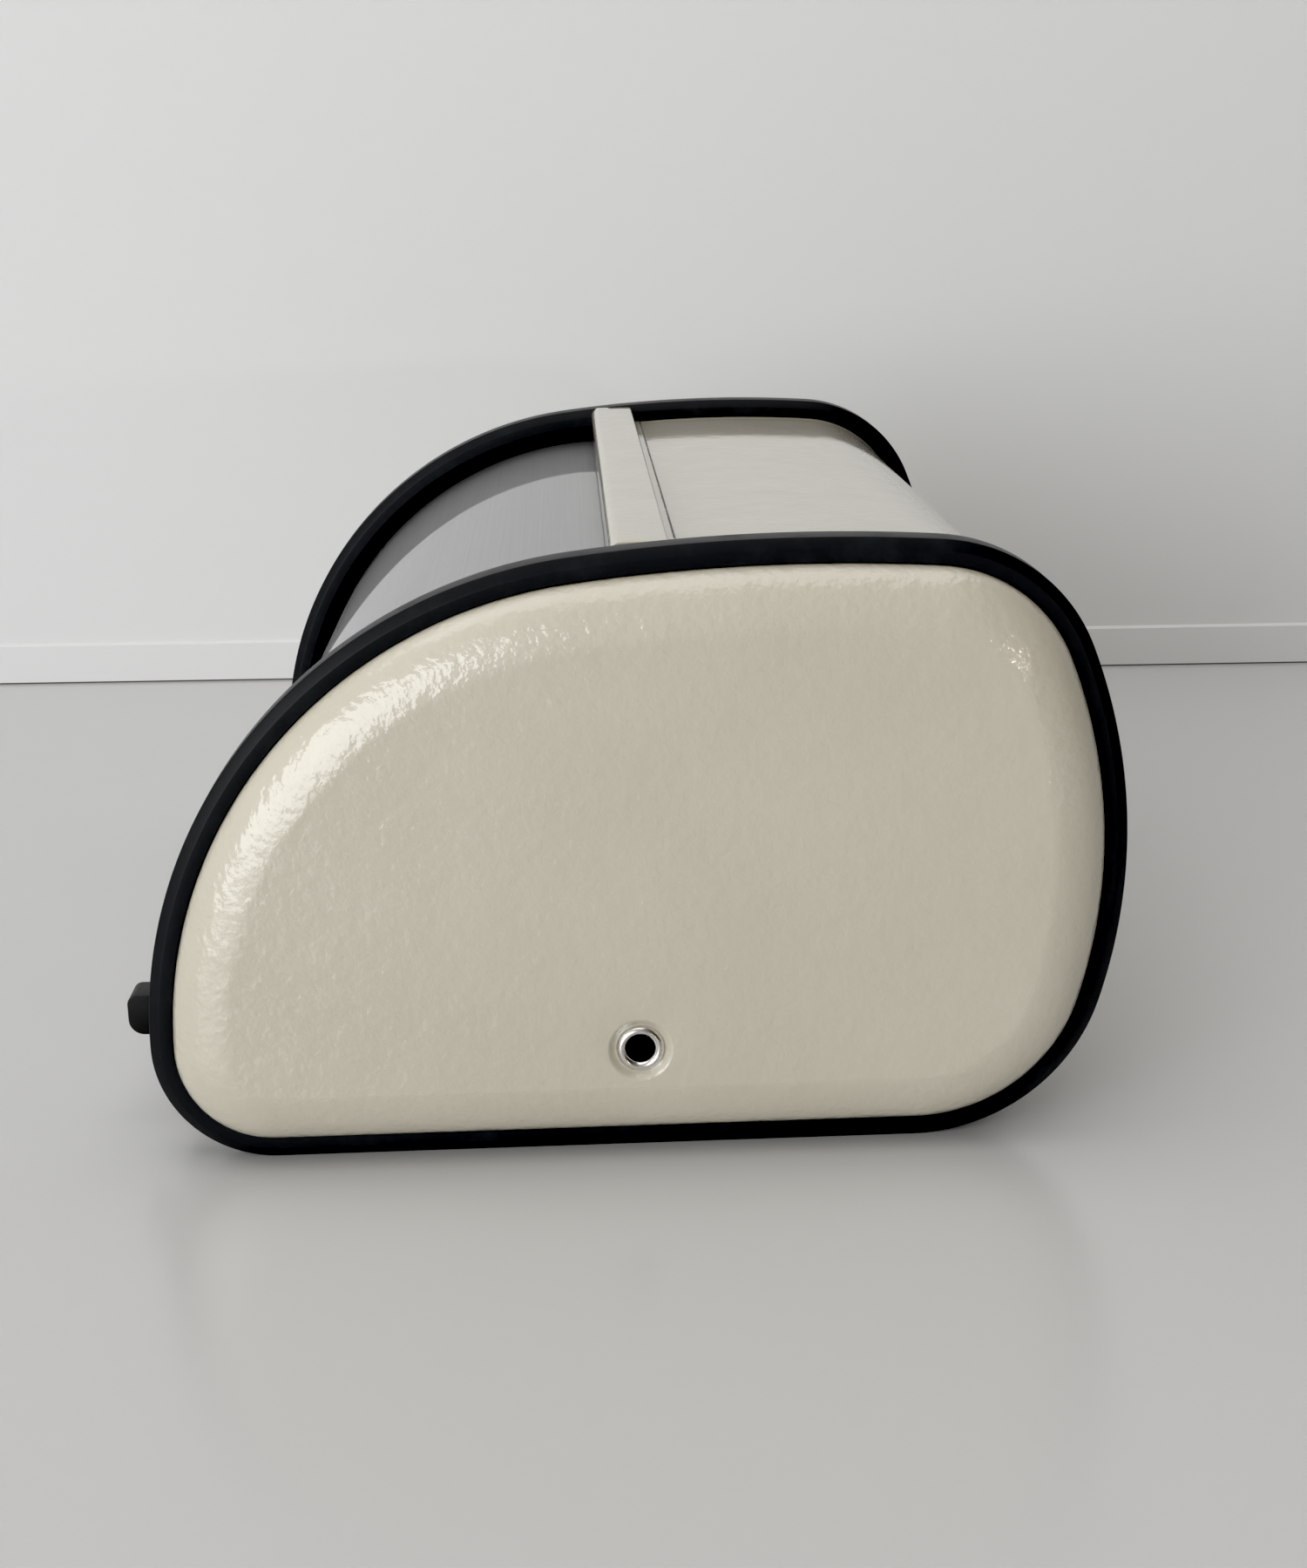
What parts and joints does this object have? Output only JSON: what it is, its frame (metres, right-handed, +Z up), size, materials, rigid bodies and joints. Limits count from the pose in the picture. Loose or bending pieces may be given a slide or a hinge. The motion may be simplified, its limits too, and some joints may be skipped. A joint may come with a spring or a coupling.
{
  "type": "bread box with roll top",
  "caption": "Compact bread box: cream enamelled body with domed ends in black edge trim, and a curved satin steel lid that rolls back inside on two pivots.",
  "frame": {"origin": "on the ground, under the middle of the whole box with its handle", "axes": "+X along the box and the lid's hinge, -Y to the front where the lid opens, +Z up"},
  "size_m": [0.342, 0.26, 0.1586],
  "materials": {
    "cream_enamel": "glossy enamel with a fine orange-peel",
    "black_trim": "matte",
    "rivet_metal": "bright nickel",
    "nylon": "natural nylon",
    "washer_steel": "plain zinc",
    "bumper_rubber": "matte",
    "satin_steel": "fine satin brush along the box",
    "arm_steel": "plain rolled",
    "handle_black": "satin black"
  },
  "bodies": {
    "box": {"body_shell": "cream_enamel", "top_rail": "cream_enamel", "front_sill": "cream_enamel", "end_panel_left": "cream_enamel", "end_panel_right": "cream_enamel", "edge_trim_left": "black_trim", "edge_trim_right": "black_trim", "pivot_rivet_left": "rivet_metal", "pivot_rivet_right": "rivet_metal", "pivot_spacer_left": "nylon", "pivot_spacer_right": "nylon", "pivot_washer_left": "washer_steel", "pivot_washer_right": "washer_steel", "closing_bumpers": "bumper_rubber", "opening_bumpers": "bumper_rubber"},
    "lid": {"lid_sheet": "satin_steel", "lid_arm_left": "arm_steel", "lid_arm_right": "arm_steel", "arm_rivets_left": "rivet_metal", "arm_rivets_right": "rivet_metal", "handle_post_left": "handle_black", "handle_post_right": "handle_black", "handle_bar": "handle_black", "handle_screws": "rivet_metal", "handle_washers": "rivet_metal"}
  },
  "joints": [
    {"name": "lid_hinge", "type": "hinge", "parent": "box", "child": "lid", "pos_m": [0, 0.005, 0.031], "axis": [-1, 0, 0], "range_deg": [0, 73]}
  ]
}
